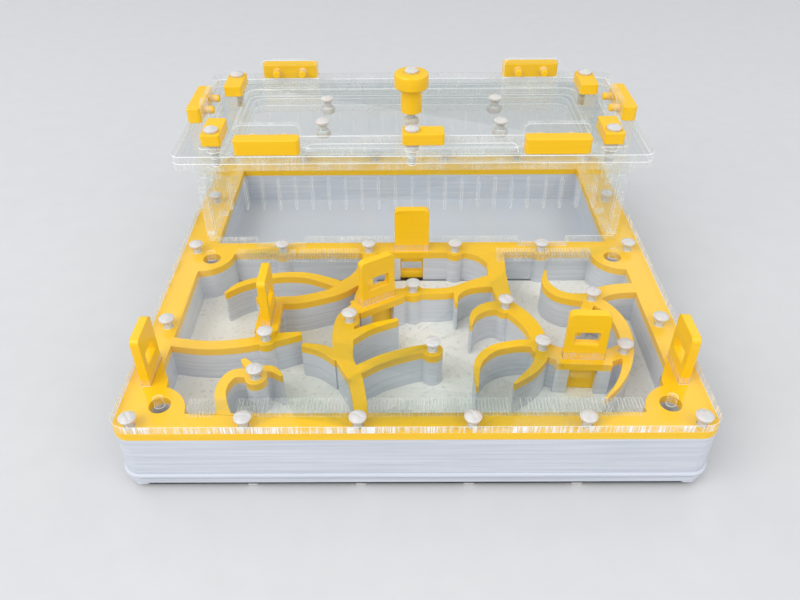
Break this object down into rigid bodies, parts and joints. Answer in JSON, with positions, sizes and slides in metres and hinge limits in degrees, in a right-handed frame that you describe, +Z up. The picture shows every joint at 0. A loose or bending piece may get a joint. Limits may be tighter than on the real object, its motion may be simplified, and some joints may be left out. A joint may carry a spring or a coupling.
{
  "type": "ant habitat",
  "caption": "Layered ant nest with a curved chamber maze under a clear cover, lift-out gates, and a vented clear foraging box with a knobbed lid held by turn latches.",
  "frame": {"origin": "middle of the bounding box's underside, on the surface that the lower nuts stand on", "axes": "+Z up, +X to the right, +Y from the nest's front edge towards the foraging box"},
  "size_m": [0.1916, 0.1852, 0.0924],
  "materials": {
    "white_print": "3D-printed white plastic with fine level layer lines",
    "yellow_print": "glossy warm yellow printed plastic",
    "nest_floor": "chalky cream porous plate",
    "clear_sheet": "clear laser-cut acrylic with bright edges",
    "nylon": "translucent natural nylon"
  },
  "bodies": {
    "root": {"base_plate": "white_print", "nest_base": "white_print", "nest_floor": "nest_floor", "nest_body": "white_print", "divider_left": "white_print", "divider_right": "white_print", "box_border": "white_print", "nest_trunk": "white_print", "nest_back_column": "white_print", "nest_left_arc": "white_print", "nest_lens_arc": "white_print", "nest_crescent": "white_print", "nest_post_branch": "white_print", "nest_loop": "white_print", "nest_pocket_column": "white_print", "nest_main_arc": "white_print", "nest_arm": "white_print", "nest_second_arch": "white_print", "nest_third_arch": "white_print", "nest_right_arm": "white_print", "nest_right_crescent": "white_print", "nest_short_column": "white_print", "maze_cap": "yellow_print", "cap_trunk_walls": "yellow_print", "cap_arm_walls": "yellow_print", "cover_plate": "clear_sheet", "cover_screws": "nylon", "cover_nuts": "nylon", "wall_front": "clear_sheet", "wall_back": "clear_sheet", "wall_left": "clear_sheet", "wall_right": "clear_sheet", "rim_lower": "clear_sheet", "rim_upper": "clear_sheet", "lid_frame": "clear_sheet", "lid_frame_front": "clear_sheet", "latch_screws": "nylon", "latch_sleeves": "nylon"},
    "lid": {"lid_plate": "clear_sheet", "lid_knob": "yellow_print", "knob_screw": "nylon", "lid_screws": "nylon", "lid_nuts": "nylon"},
    "gate_back": {"gate_back": "yellow_print"},
    "gate_right": {"gate_right": "yellow_print"},
    "gate_middle": {"gate_middle": "yellow_print"},
    "gate_left": {"gate_left": "yellow_print"},
    "gate_port_left": {"gate_port_left": "yellow_print"},
    "gate_port_right": {"gate_port_right": "yellow_print"},
    "key_front_left": {"key_front_left": "yellow_print"},
    "key_front_right": {"key_front_right": "yellow_print"},
    "key_back_left": {"key_back_left": "yellow_print"},
    "key_back_right": {"key_back_right": "yellow_print"},
    "key_left": {"key_left": "yellow_print"},
    "key_right": {"key_right": "yellow_print"},
    "latch_front_left": {"latch_front_left": "yellow_print"},
    "latch_front_right": {"latch_front_right": "yellow_print"},
    "latch_back_left": {"latch_back_left": "yellow_print"},
    "latch_back_right": {"latch_back_right": "yellow_print"},
    "latch_front_middle": {"latch_front_middle": "yellow_print"}
  },
  "joints": [
    {"name": "lid_lift", "type": "slide", "parent": "root", "child": "lid", "axis": [0, 0, 1], "range_m": [0, 0.03]},
    {"name": "gate_back_lift", "type": "slide", "parent": "root", "child": "gate_back", "axis": [0, 0, 1], "range_m": [0, 0.016]},
    {"name": "gate_right_lift", "type": "slide", "parent": "root", "child": "gate_right", "axis": [0, 0, 1], "range_m": [0, 0.016]},
    {"name": "gate_middle_lift", "type": "slide", "parent": "root", "child": "gate_middle", "axis": [0, 0, 1], "range_m": [0, 0.016]},
    {"name": "gate_left_lift", "type": "slide", "parent": "root", "child": "gate_left", "axis": [0, 0, 1], "range_m": [0, 0.016]},
    {"name": "gate_port_left_lift", "type": "slide", "parent": "root", "child": "gate_port_left", "axis": [0, 0, 1], "range_m": [0, 0.016]},
    {"name": "gate_port_right_lift", "type": "slide", "parent": "root", "child": "gate_port_right", "axis": [0, 0, 1], "range_m": [0, 0.016]},
    {"name": "key_front_left_pull", "type": "slide", "parent": "root", "child": "key_front_left", "axis": [0, -1, 0], "range_m": [0, 0.006]},
    {"name": "key_front_right_pull", "type": "slide", "parent": "root", "child": "key_front_right", "axis": [0, -1, 0], "range_m": [0, 0.006]},
    {"name": "key_back_left_pull", "type": "slide", "parent": "root", "child": "key_back_left", "axis": [0, 1, 0], "range_m": [0, 0.006]},
    {"name": "key_back_right_pull", "type": "slide", "parent": "root", "child": "key_back_right", "axis": [0, 1, 0], "range_m": [0, 0.006]},
    {"name": "key_left_pull", "type": "slide", "parent": "root", "child": "key_left", "axis": [-1, 0, 0], "range_m": [0, 0.006]},
    {"name": "key_right_pull", "type": "slide", "parent": "root", "child": "key_right", "axis": [1, 0, 0], "range_m": [0, 0.006]},
    {"name": "latch_front_left_turn", "type": "hinge", "parent": "root", "child": "latch_front_left", "pos_m": [-0.075, 0.0096, 0.076], "axis": [0, 0, 1], "range_deg": [-35, 90]},
    {"name": "latch_front_right_turn", "type": "hinge", "parent": "root", "child": "latch_front_right", "pos_m": [0.075, 0.0096, 0.076], "axis": [0, 0, 1], "range_deg": [-90, 35]},
    {"name": "latch_back_left_turn", "type": "hinge", "parent": "root", "child": "latch_back_left", "pos_m": [-0.075, 0.06465, 0.076], "axis": [0, 0, 1], "range_deg": [0, 45]},
    {"name": "latch_back_right_turn", "type": "hinge", "parent": "root", "child": "latch_back_right", "pos_m": [0.075, 0.06465, 0.076], "axis": [0, 0, 1], "range_deg": [-45, 0]},
    {"name": "latch_front_middle_turn", "type": "hinge", "parent": "root", "child": "latch_front_middle", "pos_m": [0, 0.0096, 0.076], "axis": [0, 0, 1], "range_deg": [-90, 90]}
  ]
}
